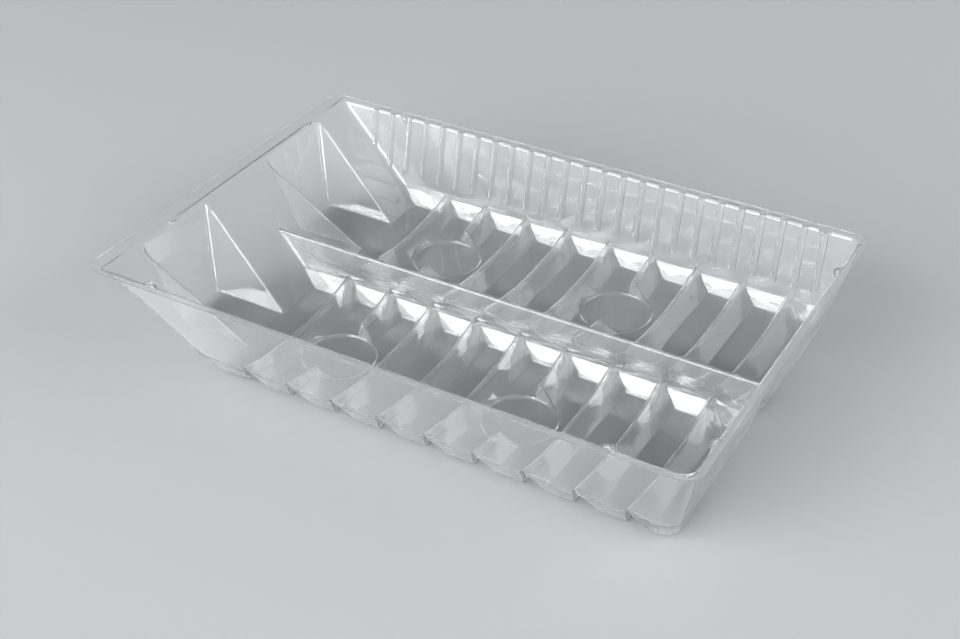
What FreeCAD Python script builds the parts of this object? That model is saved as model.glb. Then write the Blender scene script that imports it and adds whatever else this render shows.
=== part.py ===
import FreeCAD, Part
import math
import os
import Sketcher
from FreeCAD import Vector

# A transport tray formed from one clear plastic sheet.  X runs along the tray from the sloping end to
# the steep end, Y across it, Z up.  Depths are measured down from the top face of the rim.  The tray is
# the room between two skins: the space inside it, and the same space grown by the gauge of the sheet.

doc = FreeCAD.newDocument("tray")
os.makedirs("parts", exist_ok=True)

SIZES = dict(
    # the whole tray: its rim, its walls and the rounding from one to the other
    plan_length=400, plan_width=262.5, gauge=0.8, rim_corner=12.5, flange=5.4, ramp_flange=10,
    lip=3, under_lip=1, wall_draft=12, wall_corner=8, floor_drop=60,
    # the band round the foot of each bay, which leans further in than the walls above it
    band=10.7, band_draft=23.7, step=0.4, bend=2,
    # the divider between the two bays
    divider_drop=30, divider_half=1.6, divider_draft=14,
    # ribs: steep behind and sloping in front, low in the middle of a bay and rising to its walls
    first_rib=103.4, rib_pitch=31.7, rib_back=2.5, rib_front=12, rib_middle=7, rib_end=16, rib_crest=1.5,
    # the ramp at one end, and the finger recess that opens it in each bay
    ramp_slope=41, recess_inset=12.5, recess_half=32.3, recess_draft=13, recess_corner=4, recess_lip=2,
    # round finger wells, each centred on a rib
    well_radius=24.6, well_draft=9, well_extra=2.5, well_start=44, ribs_to_well=4,
    # upright flutes on the far wall
    first_flute=40.3, flute_pitch=13.84, flute_radius=2.4, flute_sink=0.9, flute_drop=41, flute_toe=1.6,
    # half-round lugs that widen the rim inward, by their distance from the end of their side
    lug_radius=5, lug_sink=2, lug_drop=10, lug_draft=15,
    ramp_lug_near=69.5, ramp_lug_far=47.5, end_lug_near=34.9, end_lug_far=45.3,
    far_lug_ramp=64.6, far_lug_end=28.5, near_lug_ramp=47.8, near_lug_end=50.2,
)
# how far a cutting tool runs past what it cuts
CLEAR = 5

sheet = doc.addObject("Spreadsheet::Sheet", "sizes")
for row, (word, value) in enumerate(SIZES.items(), start=1):
    sheet.set("A%d" % row, word)
    sheet.set("B%d" % row, str(value))
    sheet.setAlias("B%d" % row, word)
sheet.recompute()


def spelled(text):
    """An expression in the words of the sheet; $word stands for a size."""
    return "(" + text.replace("$", "sizes.") + ")"


def worth(text):
    """The number that an expression comes to."""
    found = sheet.evalExpression(spelled(text))
    return float(getattr(found, "Value", found))


def bind(target, **links):
    """Drive properties of a feature from the sheet."""
    for prop, text in links.items():
        target.setExpression(prop.replace("__", "."), spelled(text))


WELL_DEPTH = "$floor_drop + $well_extra"
HEIGHT = WELL_DEPTH + " + $gauge"
RIM_TOP = worth(HEIGHT)
LEFT = "-$plan_length/2"
RIGHT = "$plan_length/2"
SIDE = "$plan_width/2"
WALL_Y = SIDE + " - $flange"
BAY_Y = "(" + WALL_Y + ")/2"
BAND_TOP = "($floor_drop - $band)"
DIVIDER_FOOT = "($divider_drop + $divider_half)"
# a wall is placed by where its slope would meet the rim; at the divider, by how far past the middle
DIVIDER_WALL = "-($divider_half - %s*tan($divider_draft))" % DIVIDER_FOOT
OUTER_BAND = "%s - $step + %s*(tan($band_draft) - tan($wall_draft))" % (WALL_Y, BAND_TOP)
INNER_BAND = "-($divider_half + $step + (%s - %s)*tan($divider_draft) - %s*tan($band_draft))" % (
    BAND_TOP, DIVIDER_FOOT, BAND_TOP)
RAMP_FOOT = LEFT + " + $ramp_flange + $floor_drop/tan($ramp_slope)"
# ribs fill the floor as long as the last one leaves a flat strip at the steep end, and flutes fill the
# far wall as far as its round corner
END_INSET = "($flange + $step + $floor_drop*tan($wall_draft))"
RIB_COUNT = int(worth("($plan_length - $first_rib - $rib_front - %s)/$rib_pitch" % END_INSET)) + 1
FLUTE_COUNT = int(worth("($plan_length - $first_flute - $flange - $flute_drop*tan($wall_draft)"
                        " - $wall_corner)/$flute_pitch")) + 1
WELL_RIBS = range(1, RIB_COUNT - 1, int(worth("$ribs_to_well")))
BAYS = (("far", 1), ("near", -1))
RAMP_RISE = worth("tan($ramp_slope)")


def rib_at(number):
    """Where the crest of a rib stands along the tray."""
    return "%s + $first_rib + %s*$rib_pitch" % (LEFT, number)


def leaning(place, draft, depth, grow, way):
    """Position at a depth of a side wall that stands at `place` at the rim and leans inward."""
    return "(%s) - %d*((%s)*tan(%s) - %s/cos(%s))" % (place, way, depth, draft, grow, draft)


def frustum(name, top, bottom, sides):
    """A drafted box between two depths.  sides holds, for x low, x high, y low and y high, the
    place at the rim and the draft of that wall, its growth outward and which way it faces."""
    box = doc.addObject("Part::Wedge", name)
    box.Placement.Rotation = FreeCAD.Rotation(Vector(1, 0, 0), -90)
    bind(box, Ymin=top, Ymax=bottom, Placement__Base__z=HEIGHT)
    for (place, draft, grow, way), near, deep in zip(
            sides, ("Xmin", "Xmax", "Zmin", "Zmax"), ("X2min", "X2max", "Z2min", "Z2max")):
        bind(box, **{near: leaning(place, draft, top, grow, way),
                     deep: leaning(place, draft, bottom, grow, way)})
    return box


def across(way, inner, outer):
    """The two Y walls of a bay, low one first, from the walls at its divider side and its outer side,
    each given as in the far bay."""
    both = [("%d*(-(%s))" % (way, inner[0]), inner[1], -way), ("%d*(%s)" % (way, outer[0]), outer[1], way)]
    return both[::way]


def rounded(base, name, radius, wanted):
    """The base with every edge that `wanted` picks rounded over."""
    doc.recompute()
    fillet = doc.addObject("Part::Fillet", name)
    fillet.Base = base
    fillet.Edges = [(n, radius, radius) for n, e in enumerate(base.Shape.Edges, start=1) if wanted(e)]
    return fillet


def upright(edge):
    """An edge running from one depth to another."""
    return abs(edge.BoundBox.ZLength) > 1e-3


def level_at(height):
    """A test for edges that lie at one height."""
    return lambda edge: edge.BoundBox.ZLength < 1e-3 and abs(edge.BoundBox.ZMin - height) < 1e-3


def mouth(shape, height):
    """A test for the edges round an opening in the level faces at one height."""
    edges = [edge for face in shape.Faces if level_at(height)(face)
             for wire in face.Wires if not wire.isSame(face.OuterWire) for edge in wire.Edges]
    return lambda edge: any(edge.isSame(other) for other in edges)


def in_slope(edge):
    """A test for the edges round a recess in the face of the ramp: those that slope as the ramp does."""
    box = edge.BoundBox
    return box.YLength > 1e-3 and box.XLength > 1e-3 and abs(box.ZLength/box.XLength - RAMP_RISE) < 1e-3


def fused(name, shapes):
    union = doc.addObject("Part::MultiFuse", name)
    union.Shapes = shapes
    union.Refine = True
    return union


def less(name, base, tools):
    """The base cut by the tools."""
    cut = doc.addObject("Part::Cut", name)
    cut.Base = base
    cut.Tool = fused(name + "_tools", tools) if len(tools) > 1 else tools[0]
    return cut


def origin(body, role):
    """A plane or an axis of the body's own origin."""
    return [item for item in body.Origin.OriginFeatures if item.Role == role][0]


def drawn(body, name, role, **offset):
    """An empty sketch on one plane of the body, moved by the offsets."""
    sketch = body.newObject("Sketcher::SketchObject", name)
    sketch.AttachmentSupport = [(origin(body, role), "")]
    sketch.MapMode = "FlatFace"
    bind(sketch, **{"AttachmentOffset__Base__" + axis: text for axis, text in offset.items()})
    return sketch


def held(sketch, kind, place, text):
    """A dimension of a sketch driven from the sheet."""
    sketch.addConstraint(Sketcher.Constraint(kind, *place, worth(text)))
    word = "%s_%d" % (kind.lower(), sketch.ConstraintCount)
    sketch.renameConstraint(sketch.ConstraintCount - 1, word)
    bind(sketch, **{"Constraints__" + word: text})


def chain(sketch, corners, closed):
    """Straight edges through corners that the sheet places, and the numbers of the edges."""
    spots = [Vector(worth(x), worth(y), 0) for x, y in corners]
    pairs = list(zip(range(len(spots)), range(1, len(spots))))
    if closed:
        pairs.append((len(spots) - 1, 0))
    edges = [sketch.addGeometry(Part.LineSegment(spots[a], spots[b])) for a, b in pairs]
    for this, following in zip(edges, edges[1:] + edges[:1] if closed else edges[1:]):
        sketch.addConstraint(Sketcher.Constraint("Coincident", this, 2, following, 1))
    ends = [(edge, 1) for edge in edges] + ([] if closed else [(edges[-1], 2)])
    for end, (x, y) in zip(ends, corners):
        held(sketch, "DistanceX", (-1, 1) + end, x)
        held(sketch, "DistanceY", (-1, 1) + end, y)
    return edges


def plate(name):
    """The flat rim, before the room inside the tray is taken out of it."""
    body = doc.addObject("PartDesign::Body", name)
    sketch = drawn(body, name + "_outline", "XY_Plane", z=HEIGHT)
    chain(sketch, [(LEFT, "-" + SIDE), (RIGHT, "-" + SIDE), (RIGHT, SIDE), (LEFT, SIDE)], True)
    pad = body.newObject("PartDesign::Pad", name + "_sheet")
    pad.Profile = sketch
    pad.Reversed = True
    bind(pad, Length="$gauge")
    doc.recompute()
    corners = body.newObject("PartDesign::Fillet", name + "_corners")
    corners.Base = (pad, ["Edge%d" % n for n, e in enumerate(pad.Shape.Edges, start=1) if upright(e)])
    bind(corners, Radius="$rim_corner")
    body.Tip = corners
    return body


def over_ramp(name, grow):
    """Everything above one face of the ramp, as a prism across the whole tray."""
    def ramp_x(depth):
        return "%s + $ramp_flange - (%s)/sin($ramp_slope) + (%s)/tan($ramp_slope)" % (LEFT, grow, depth)

    body = doc.addObject("PartDesign::Body", name)
    sketch = drawn(body, name + "_side", "XZ_Plane")
    front = "%s + %s" % (RIGHT, CLEAR)
    low, high = "-%s" % CLEAR, "%s + %s" % (HEIGHT, CLEAR)
    chain(sketch, [(ramp_x(high), low), (front, low), (front, high), (ramp_x(low), high)], True)
    pad = body.newObject("PartDesign::Pad", name + "_prism")
    pad.Profile = sketch
    pad.Midplane = True
    bind(pad, Length="$plan_width + %s" % CLEAR)
    return body


def rib_section(body, name, y, height, grow):
    """The profile of a rib across its length: two flanks that run into a round crest, on a strip of
    base one pitch long below the floor.  A grown room leaves a rib thinner by the gauge all round."""
    sketch = drawn(body, name, "XZ_Plane", x=rib_at(0), y="$well_extra + $gauge", z="-(%s)" % y)
    centre = "(%s - $rib_crest)" % height

    def slope(foot):
        return "(atan(%s/%s) + asin($rib_crest/sqrt(%s^2 + %s^2)))" % (centre, foot, foot, centre)

    def foot_at(foot):
        return "(%s - %s*tan(%s/2))" % (foot, grow, slope(foot))

    front, back, floor = foot_at("$rib_front"), "-" + foot_at("$rib_back"), "-(%s)" % grow
    low, lower = floor + " - 1", floor + " - 2"
    base = chain(sketch, [(front, floor), (front, low), ("$rib_pitch", low), ("$rib_pitch", lower),
                          (back, lower), (back, floor)], False)
    radius = "$rib_crest - %s" % grow
    spot = Vector(0, worth(centre), 0)
    angles = [math.radians(90 - worth(slope("$rib_front"))), math.radians(90 + worth(slope("$rib_back")))]
    ends = [spot + Vector(math.cos(a), math.sin(a), 0)*worth(radius) for a in angles]
    arc = sketch.addGeometry(Part.ArcOfCircle(Part.Circle(spot, Vector(0, 0, 1), worth(radius)), *angles))
    held(sketch, "DistanceX", (-1, 1, arc, 3), "0")
    held(sketch, "DistanceY", (-1, 1, arc, 3), centre)
    held(sketch, "Radius", (arc,), radius)
    for end, foot, x in ((1, (base[0], 1), front), (2, (base[-1], 2), back)):
        flank = sketch.addGeometry(Part.LineSegment(ends[end - 1], Vector(worth(x), worth(floor), 0)))
        sketch.addConstraint(Sketcher.Constraint("Coincident", flank, 2, *foot))
        sketch.addConstraint(Sketcher.Constraint("Tangent", flank, 1, arc, end))
    return sketch


def rib_row(name, grow):
    """Every rib of the far bay, one rib lofted through three sections and repeated along the tray."""
    body = doc.addObject("PartDesign::Body", name)
    reach = "(%s - $divider_half)" % BAY_Y
    sections = [rib_section(body, "%s_section%d" % (name, n), "%s + %d*%s" % (BAY_Y, n, reach), height, grow)
                for n, height in ((-1, "$rib_end"), (0, "$rib_middle"), (1, "$rib_end"))]
    rib = body.newObject("PartDesign::AdditiveLoft", name + "_rib")
    rib.Profile = sections[0]
    rib.Sections = sections[1:]
    doc.recompute()
    row = body.newObject("PartDesign::LinearPattern", name + "_pattern")
    row.Originals = [rib]
    row.Direction = (origin(body, "X_Axis"), [""])
    row.Occurrences = RIB_COUNT
    bind(row, Length="%d*$rib_pitch" % (RIB_COUNT - 1))
    body.Tip = row
    return body


def mirrored(name, source):
    """The same form in the other bay."""
    copy = doc.addObject("Part::Mirroring", name)
    copy.Source = source
    copy.Normal = Vector(0, 1, 0)
    return copy


def cone(name, x, y, top, bottom, radius, at, draft, grow):
    """A drafted round well; radius is its size at the depth `at`."""
    well = doc.addObject("Part::Cone", name)
    wide = "%s - (%s - (%s))*tan(%s) + (%s)/cos(%s)"
    bind(well, Radius2=wide % (radius, top, at, draft, grow, draft),
         Radius1=wide % (radius, bottom, at, draft, grow, draft),
         Height="(%s) - (%s)" % (bottom, top), Placement__Base__x=x, Placement__Base__y=y,
         Placement__Base__z="%s - (%s)" % (HEIGHT, bottom))
    return well


def flute(name, number, grow):
    """A half-round flute down the far wall: a stem, and a toe that narrows into the wall."""
    stem = doc.addObject("Part::Cylinder", name)
    toe = doc.addObject("Part::Cone", name + "_toe")
    for item, foot in ((stem, "$flute_drop"), (toe, "($flute_drop + $flute_toe*cos($wall_draft))")):
        item.Placement.Rotation = FreeCAD.Rotation(Vector(-1, 0, 0), worth("$wall_draft"))
        bind(item, Placement__Base__x="%s + $first_flute + %d*$flute_pitch" % (LEFT, number),
             Placement__Base__y="%s - %s*tan($wall_draft) + $flute_sink" % (WALL_Y, foot),
             Placement__Base__z="%s - %s" % (HEIGHT, foot))
    radius = "($flute_radius - %s)" % grow
    bind(stem, Radius=radius, Height="($flute_drop + %s)/cos($wall_draft)" % CLEAR)
    bind(toe, Radius2=radius, Radius1=radius + "/2", Height="$flute_toe")
    return [stem, toe]


def skin(tag, thicker):
    """The room bounded by one face of the sheet, grown by the gauge when thicker is true."""
    extra = worth("$gauge") if thicker else 0
    grow = "$gauge" if thicker else "0"
    floor = "$floor_drop + " + grow
    floor_height = worth(HEIGHT + " - $floor_drop") - extra
    wall = "$wall_draft"

    def walls(x_low, x_high, y_walls):
        low = (x_low[0], x_low[1], grow, -1)
        high = (x_high[0], x_high[1], grow, 1)
        return [low, high] + [(place, draft, grow, side) for place, draft, side in y_walls]

    def cornered(name, top, bottom, sides):
        return rounded(frustum(name, top, bottom, sides), name + "_corners",
                       worth("$wall_corner") + extra, upright)

    ends = ((LEFT + " + $flange", wall), (RIGHT + " - $flange", wall))
    opening = cornered(tag + "_opening", "0", DIVIDER_FOOT, walls(
        *ends, [("-(%s)" % WALL_Y, wall, -1), (WALL_Y, wall, 1)]))
    if thicker:
        # under the rim the outer face flares out in one slope, halfway between the wall and the rim
        flare = "(45 + $wall_draft/2)"
        spread = "(($gauge + $under_lip)*(tan(%s) - tan($wall_draft)) + $gauge/cos($wall_draft))" % flare
        rooms = [opening, cornered(tag + "_lip", "0", "$gauge + $under_lip", [
            ("%s + %d*%s" % (place, way, spread), flare, "0", way) for place, way in (
                (ends[0][0], -1), (ends[1][0], 1), ("-(%s)" % WALL_Y, -1), (WALL_Y, 1))])]
    else:
        air = doc.addObject("Part::Box", "air_above_rim")
        bind(air, Length="$plan_length", Width="$plan_width", Height=str(CLEAR), Placement__Base__x=LEFT,
             Placement__Base__y="-" + SIDE, Placement__Base__z=HEIGHT)
        rim = fused(tag + "_rim", [opening, air])
        doc.recompute()
        rooms = [rounded(rim, tag + "_lip", worth("$lip"), mouth(rim.Shape, RIM_TOP))]
    for bay, way in BAYS:
        side = "%s_%s" % (tag, bay)
        rooms.append(cornered(side + "_trough", DIVIDER_FOOT + " - 1", BAND_TOP + " + " + grow, walls(
            *ends, across(way, (DIVIDER_WALL, "$divider_draft"), (WALL_Y, wall)))))
        base = cornered(side + "_base", BAND_TOP, floor, walls(
            ends[0], (ends[1][0] + " - $step", wall),
            across(way, (INNER_BAND, "$band_draft"), (OUTER_BAND, "$band_draft"))))
        doc.recompute()
        rooms.append(rounded(base, side + "_bend", worth("$bend") + extra, level_at(floor_height)))

    fingers = []
    for bay, way in BAYS:
        middle = "%d*%s" % (way, BAY_Y)
        finger = frustum("%s_%s_recess" % (tag, bay), "0", floor, [
            (LEFT + " + $recess_inset", wall, grow, -1), (RAMP_FOOT + " + $bend", "0", "0", 1),
            (middle + " - $recess_half", "$recess_draft", grow, -1),
            (middle + " + $recess_half", "$recess_draft", grow, 1)])
        doc.recompute()
        open_end = finger.Shape.BoundBox.XMax - 1e-3
        turned = rounded(finger, finger.Name + "_corners", worth("$recess_corner") + extra,
                         lambda e: upright(e) and e.BoundBox.XMin < open_end)
        doc.recompute()
        fingers.append(rounded(turned, finger.Name + "_bend", worth("$bend") + extra,
                               lambda e: level_at(floor_height)(e) and e.BoundBox.XMin < open_end))
    ramp = fused(tag + "_over_ramp", [over_ramp(tag + "_ramp", grow)] + fingers)
    doc.recompute()
    room = doc.addObject("Part::Common", tag + "_room")
    room.Base = fused(tag + "_rooms", rooms)
    room.Tool = rounded(ramp, tag + "_recess_lips", worth("$recess_lip") - extra, in_slope)

    solid = [rib_row(tag + "_far_ribs", grow)]
    solid.append(mirrored(tag + "_near_ribs", solid[-1]))
    crest = doc.addObject("Part::Cylinder", tag + "_divider_crest")
    crest.Placement.Rotation = FreeCAD.Rotation(Vector(0, 1, 0), 90)
    bind(crest, Radius="$divider_half - (%s)/cos($divider_draft)" % grow, Height="$plan_length",
         Placement__Base__x=LEFT, Placement__Base__z="%s - (%s)" % (HEIGHT, DIVIDER_FOOT))
    solid.append(crest)
    for n in range(FLUTE_COUNT):
        solid += flute("%s_flute%d" % (tag, n), n, grow)
    ramp_x, end_x = LEFT + " + $ramp_flange - $lug_sink", RIGHT + " - $flange + $lug_sink"
    far_y, near_y = WALL_Y + " + $lug_sink", "-(%s + $lug_sink)" % WALL_Y
    for n, (x, y) in enumerate((
            (ramp_x, "$ramp_lug_near - %s" % SIDE), (ramp_x, "%s - $ramp_lug_far" % SIDE),
            (end_x, "$end_lug_near - %s" % SIDE), (end_x, "%s - $end_lug_far" % SIDE),
            (LEFT + " + $far_lug_ramp", far_y), (RIGHT + " - $far_lug_end", far_y),
            (LEFT + " + $near_lug_ramp", near_y), (RIGHT + " - $near_lug_end", near_y))):
        solid.append(cone("%s_lug%d" % (tag, n), x, y, grow, "$lug_drop", "$lug_radius", "0", "$lug_draft",
                          "-(%s)" % grow))
    added = [less(tag + "_bare", room, solid)]
    for bay, way in BAYS:
        for n in WELL_RIBS:
            well = cone("%s_%s_well%d" % (tag, bay, n), rib_at(n), "%d*%s" % (way, BAY_Y), "$well_start",
                        WELL_DEPTH + " + " + grow, "$well_radius", BAND_TOP, "$well_draft", grow)
            added.append(rounded(well, well.Name + "_bend", worth("$bend") + extra,
                                 level_at(worth("$gauge") - extra)))
    return fused(tag + "_skin", added)


inside = skin("inside", False)
outside = fused("outside_and_rim", [skin("outside", True), plate("rim")])
tray = less("tray", outside, [inside])
tray.Label = "tray"
doc.recompute()

for item in doc.Objects:
    if "Invalid" in item.State or "Error" in item.State:
        raise RuntimeError("feature %s did not build" % item.Name)
shape = tray.Shape
if shape.isNull() or not shape.isValid() or len(shape.Solids) != 1:
    raise RuntimeError("the tray is not one sound solid")
shape.Solids[0].exportStep("parts/%s.step" % tray.Label)
print("volume %.0f mm3, box %s" % (shape.Volume, shape.BoundBox))
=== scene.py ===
import bmesh
import bpy
from math import cos, radians, sin, sqrt, tan
from mathutils import Matrix, Vector


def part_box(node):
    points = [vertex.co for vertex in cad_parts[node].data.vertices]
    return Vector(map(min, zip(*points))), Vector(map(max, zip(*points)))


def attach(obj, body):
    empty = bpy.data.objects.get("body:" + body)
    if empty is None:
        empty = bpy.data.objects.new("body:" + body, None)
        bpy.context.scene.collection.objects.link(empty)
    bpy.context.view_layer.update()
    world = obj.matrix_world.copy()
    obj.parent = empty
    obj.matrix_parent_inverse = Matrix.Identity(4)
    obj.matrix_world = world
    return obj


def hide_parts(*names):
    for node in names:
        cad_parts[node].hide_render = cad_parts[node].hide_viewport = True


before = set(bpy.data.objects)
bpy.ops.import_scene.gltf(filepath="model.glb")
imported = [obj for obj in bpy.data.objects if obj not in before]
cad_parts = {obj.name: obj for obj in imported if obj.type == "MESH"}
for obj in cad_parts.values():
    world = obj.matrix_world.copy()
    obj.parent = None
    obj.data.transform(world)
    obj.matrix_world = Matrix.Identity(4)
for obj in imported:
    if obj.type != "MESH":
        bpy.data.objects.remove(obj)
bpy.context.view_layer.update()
scene = bpy.context.scene

# The tray's sizes, in metres; depths are measured down from the rim.
MM = 0.001
RAMP_SLOPE, WALL_DRAFT, BAND_DRAFT, DIVIDER_DRAFT = (radians(angle) for angle in (41, 12, 23.7, 14))
FLANGE, RAMP_FLANGE = 5.4*MM, 10*MM
DIVIDER_HALF, DIVIDER_DEPTH = 1.6*MM, 31.6*MM
BAND_DEPTH, BAND_STEP, FLOOR_DEPTH = 49.3*MM, 0.4*MM, 60*MM

# The bend between the ramp and the sides of a bay, and how many strips make each half of it.
BEND, STRIPS = 4*MM, 5
# The depths where the bend begins and is whole, at the outer wall and at the divider.
WALL_BEND, DIVIDER_BEND = (0.5*MM, 4*MM), (30.5*MM, 36*MM)
# How far past a bend its pull fades out, and how far above the floor it begins to fade.
FADE, FLOOR_FADE = 3*MM, 5*MM
# A sheet's two faces and the flutes stand within these distances of the plane that they belong to.
SHEET, FLUTES = 1.2*MM, 2.6*MM
# Vertices closer than WELD are one; a cut that passes within CUT_SLACK of a vertex goes through it.
WELD, CUT_SLACK = 0.001*MM, 0.002*MM
# An edge that turns more than this is drawn sharp.
SHARP_EDGE = radians(24)

# The camera stands where the photograph was taken from: its place, its turns, and its lens and film
# width in millimetres.
CAMERA_PLACE = (0.4041, -0.6757, 0.5687)
CAMERA_HEADING, CAMERA_TILT, CAMERA_ROLL = radians(30.987), radians(54.817), radians(-0.864)
CAMERA_LENS, CAMERA_FILM = 57.9, 36
# The floor lies a hair below the tray, so that the two faces don't share one plane.
FLOOR_GAP, FLOOR_SIZE = 0.5*MM, 12


def distance(face, point):
    """How far a point stands in front of a plane, given as a place and a normal."""
    return (point - face[0]).dot(face[1])


def ease(start, end, value):
    """From 0 at start to 1 at end, smooth at both."""
    part = min(1.0, max(0.0, (value - start)/(end - start)))
    return part*part*(3 - 2*part)


def ramp_corners():
    """The rim's height, the face of the ramp, and the corners it makes with the far bay's two sides.

    A face is a place and a normal. A corner is the wall, the band at its foot, and the depths where
    the bend begins and is whole.
    """
    low, high = (Vector(corner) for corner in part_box("tray"))
    wall_y = high.y - FLANGE
    outer_foot = wall_y - BAND_DEPTH*tan(WALL_DRAFT)
    inner_foot = DIVIDER_HALF + (BAND_DEPTH - DIVIDER_DEPTH)*tan(DIVIDER_DRAFT)

    def side(way, draft, y, depth):
        return Vector((0, y, high.z - depth)), Vector((0, way*cos(draft), sin(draft)))

    ramp = (Vector((low.x + RAMP_FLANGE, 0, high.z)), Vector((sin(RAMP_SLOPE), 0, cos(RAMP_SLOPE))))
    outer_wall = side(-1, WALL_DRAFT, wall_y, 0)
    outer_band = side(-1, BAND_DRAFT, outer_foot - BAND_STEP, BAND_DEPTH)
    inner_wall = side(1, DIVIDER_DRAFT, DIVIDER_HALF, DIVIDER_DEPTH)
    inner_band = side(1, BAND_DRAFT, inner_foot + BAND_STEP, BAND_DEPTH)
    outer = (outer_wall, outer_band, *WALL_BEND)
    inner = (inner_wall, inner_band, *DIVIDER_BEND)
    return high.z, ramp, (outer, inner)


def mirrored(point, way):
    """The point itself for the far bay (way 1), or its mirror image for the near one (way -1)."""
    return Vector((point.x, way*point.y, point.z))


def cut_strips(mesh, rim, ramp, face, top, bottom):
    """Cut the sheet into narrow strips beside the corner of the ramp with one other face."""
    picked = []
    for polygon in mesh.faces:
        places = [vert.co for vert in polygon.verts]
        if min(rim - p.z for p in places) > bottom or max(rim - p.z for p in places) < top:
            continue
        to_ramp = [distance(ramp, p) for p in places]
        to_face = [distance(face, p) for p in places]
        across = [a - b for a, b in zip(to_ramp, to_face)]
        on_sheet = max(map(abs, to_ramp)) < SHEET or max(map(abs, to_face)) < FLUTES
        beside = min(across) < BEND and max(across) > -BEND
        near = min(a + b for a, b in zip(to_ramp, to_face)) < BEND + FADE
        if on_sheet and beside and near:
            picked.append(polygon)
    edges = {edge for polygon in picked for edge in polygon.edges}
    verts = {vert for polygon in picked for vert in polygon.verts}
    geometry = picked + list(edges) + list(verts)
    normal = ramp[1] - face[1]
    start = ramp[0].dot(ramp[1]) - face[0].dot(face[1])
    for strip in range(-STRIPS, STRIPS + 1):
        # strip 0 would run along the corner, which is an edge already
        if strip:
            place = normal*((start + strip*BEND/STRIPS)/normal.length_squared)
            geometry = bmesh.ops.bisect_plane(mesh, geom=geometry, plane_co=place, plane_no=normal,
                                              dist=CUT_SLACK)["geom"]


def bend_corners(mesh, rim, ramp, corners):
    """Pull the sheet beside each corner of the ramp out to a round bend."""
    for vert in mesh.verts:
        way = 1 if vert.co.y >= 0 else -1
        point = mirrored(vert.co, way)
        depth = rim - point.z
        to_ramp = distance(ramp, point)
        low_part = ease(BAND_DEPTH - MM, BAND_DEPTH + MM, depth)
        for wall, band, begins, whole in corners:
            to_side = (1 - low_part)*distance(wall, point) + low_part*distance(band, point)
            normal = ((1 - low_part)*wall[1] + low_part*band[1]).normalized()
            across, out = to_ramp - to_side, to_ramp + to_side
            if abs(across) >= BEND or not -FADE < out < BEND + FADE:
                continue
            share = ease(begins, whole, depth)*(1 - ease(FLOOR_DEPTH - FLOOR_FADE, FLOOR_DEPTH, depth))
            share *= 1 - ease(BEND + MM, BEND + FADE, out)
            # an arc that meets both faces BEND away from their corner; each distance grows by rise
            rise = share*(BEND - (abs(across) + sqrt(2*BEND**2 - across**2))/2)
            shift = (ramp[1] + normal)*(rise/(1 + ramp[1].dot(normal)))
            vert.co += mirrored(shift, way)
            break


def formed_sheet():
    """The tray as it comes off its tool: the CAD sheet with the ramp's corners bent round."""
    sheet = bmesh.new()
    sheet.from_mesh(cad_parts["tray"].data)
    bmesh.ops.remove_doubles(sheet, verts=sheet.verts, dist=WELD)
    rim, ramp, corners = ramp_corners()
    for way in (1, -1):
        for wall, band, begins, _ in corners:
            upper = (wall, begins, BAND_DEPTH + MM)
            lower = (band, BAND_DEPTH - MM, FLOOR_DEPTH + MM)
            for face, top, bottom in (upper, lower):
                cut_strips(sheet, rim, ramp, [mirrored(part, way) for part in face], top, bottom)
    bend_corners(sheet, rim, ramp, corners)
    bmesh.ops.dissolve_degenerate(sheet, dist=WELD, edges=sheet.edges)
    bmesh.ops.triangulate(sheet, faces=[face for face in sheet.faces if len(face.verts) > 3])
    mesh = bpy.data.meshes.new("formed_sheet")
    sheet.to_mesh(mesh)
    sheet.free()
    mesh.polygons.foreach_set("use_smooth", [True]*len(mesh.polygons))
    mesh.set_sharp_from_angle(angle=SHARP_EDGE)
    piece = bpy.data.objects.new("formed_sheet", mesh)
    scene.collection.objects.link(piece)
    level = piece.modifiers.new("level_normals", "WEIGHTED_NORMAL")
    level.keep_sharp = True
    # the largest faces decide the shading, so that flat walls shade flat
    level.weight = 100
    return piece


def material(name):
    """A new node material: itself, its node tree and its Principled shader."""
    mat = bpy.data.materials.new(name)
    mat.use_nodes = True
    return mat, mat.node_tree, mat.node_tree.nodes["Principled BSDF"]


def node(tree, kind, links=(), **values):
    """A shader node with its plain inputs set and its linked inputs joined."""
    made = tree.nodes.new(kind)
    for key, value in values.items():
        if key in made.inputs:
            made.inputs[key].default_value = value
        else:
            setattr(made, key, value)
    for key, source in dict(links).items():
        tree.links.new(source, made.inputs[key])
    return made


def spread(tree, source, low, high, start=0.0, end=1.0):
    """A value between start and end, stretched to run from low to high."""
    made = node(tree, "ShaderNodeMapRange", {"Value": source})
    for socket, value in (("From Min", start), ("From Max", end), ("To Min", low), ("To Max", high)):
        made.inputs[socket].default_value = value
    return made.outputs["Result"]


# The sockets of a Mix node that is set to colours: its two inputs and its result.
MIX_FIRST, MIX_SECOND, MIX_RESULT = 6, 7, 2


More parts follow.
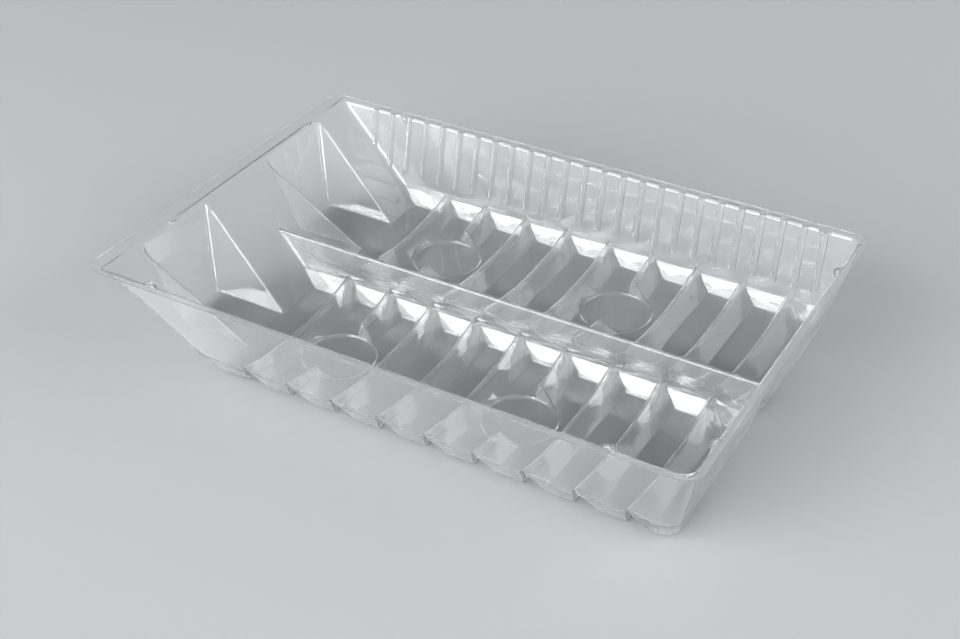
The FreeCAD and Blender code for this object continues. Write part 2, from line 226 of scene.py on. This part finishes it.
def clear_plastic():
    """Clear glossy sheet: nearly colourless, with the faint flow lines and haze that forming leaves."""
    mat, tree, shader = material("clear_plastic")
    place = node(tree, "ShaderNodeTexCoord").outputs["Object"]
    flow = node(tree, "ShaderNodeTexNoise", {"Vector": place}, Scale=14.0, Detail=3.0, Roughness=0.55)
    fine = node(tree, "ShaderNodeTexNoise", {"Vector": place}, Scale=420.0, Detail=2.0, Roughness=0.5)
    haze = spread(tree, fine.outputs["Fac"], low=0.015, high=0.06, start=0.35, end=0.75)
    tree.links.new(haze, shader.inputs["Roughness"])
    tint = node(tree, "ShaderNodeMix", {"Factor": flow.outputs["Fac"]}, data_type="RGBA")
    tint.inputs[MIX_FIRST].default_value = (0.972, 0.984, 0.988, 1)
    tint.inputs[MIX_SECOND].default_value = (0.99, 0.996, 0.998, 1)
    tree.links.new(tint.outputs[MIX_RESULT], shader.inputs["Base Color"])
    bump = node(tree, "ShaderNodeBump", {"Height": flow.outputs["Fac"]}, Strength=0.025, Distance=0.002)
    tree.links.new(bump.outputs["Normal"], shader.inputs["Normal"])
    shader.inputs["Transmission Weight"].default_value = 0.92
    shader.inputs["IOR"].default_value = 1.57
    return mat


def pale_floor():
    """A matt pale surface with a faint grain."""
    mat, tree, shader = material("pale_floor")
    place = node(tree, "ShaderNodeTexCoord").outputs["Object"]
    grain = node(tree, "ShaderNodeTexNoise", {"Vector": place}, Scale=9.0, Detail=4.0)
    matt = spread(tree, grain.outputs["Fac"], low=0.85, high=0.95)
    tree.links.new(matt, shader.inputs["Roughness"])
    shader.inputs["Specular IOR Level"].default_value = 0.2
    shader.inputs["Base Color"].default_value = (0.43, 0.436, 0.446, 1)
    return mat


def soft_light(name, place, width, height, power):
    """A wide lamp aimed at the middle of the tray: place and sizes in metres, power in watts."""
    data = bpy.data.lights.new(name, "AREA")
    data.shape = "RECTANGLE"
    data.size, data.size_y, data.energy = width, height, power
    lamp = bpy.data.objects.new(name, data)
    lamp.location = place
    lamp.rotation_euler = (-Vector(place)).to_track_quat("-Z", "Y").to_euler()
    scene.collection.objects.link(lamp)


def studio_world():
    """Surroundings that are bright in front of the tray and dim behind it."""
    world = bpy.data.worlds.new("studio")
    world.use_nodes = True
    tree = world.node_tree
    direction = node(tree, "ShaderNodeTexCoord").outputs["Generated"]
    axes = node(tree, "ShaderNodeSeparateXYZ", {"Vector": direction})
    backdrop = tree.nodes["Background"]
    backdrop.inputs["Color"].default_value = (0.96, 0.98, 1.0, 1)
    strength = spread(tree, axes.outputs["Y"], low=0.9, high=0.1, start=-0.7, end=0.5)
    tree.links.new(strength, backdrop.inputs["Strength"])
    return world


def photo_camera():
    """The camera at the photograph's place and angle."""
    lens = bpy.data.cameras.new("camera")
    lens.lens, lens.sensor_width = CAMERA_LENS, CAMERA_FILM
    camera = bpy.data.objects.new("camera", lens)
    turn = (Matrix.Rotation(CAMERA_HEADING, 4, "Z") @ Matrix.Rotation(CAMERA_TILT, 4, "X")
            @ Matrix.Rotation(CAMERA_ROLL, 4, "Z"))
    camera.matrix_world = Matrix.Translation(CAMERA_PLACE) @ turn
    scene.collection.objects.link(camera)
    return camera


sheet = formed_sheet()
sheet.data.materials.append(clear_plastic())
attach(sheet, "root")
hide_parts("tray")

bpy.ops.mesh.primitive_plane_add(size=FLOOR_SIZE, location=(0, 0, -FLOOR_GAP))
floor = bpy.context.object
floor.name = "floor"
floor.data.materials.append(pale_floor())

# front and low whiten the bands and crests, right the ribs' far ends, side the recesses' upright corners
soft_light("front", (-1.3, -2.8, 1.6), 3.6, 2.8, 150)
soft_light("low", (-1.24, -2.6, 0.5), 2.6, 0.7, 50)
soft_light("right", (2.4, 0.7, 1.35), 2.4, 1.5, 44)
soft_light("side", (2.5, -1.6, 0.28), 1.0, 0.46, 28)
soft_light("back", (1.5, 3.0, 1.9), 2.4, 0.8, 8)

scene.world = studio_world()
scene.camera = photo_camera()
scene.view_settings.view_transform = "Standard"
# light passes through many faces of clear sheet before it reaches the camera
scene.cycles.max_bounces = 24
scene.cycles.transmission_bounces = 20
scene.cycles.glossy_bounces = 12
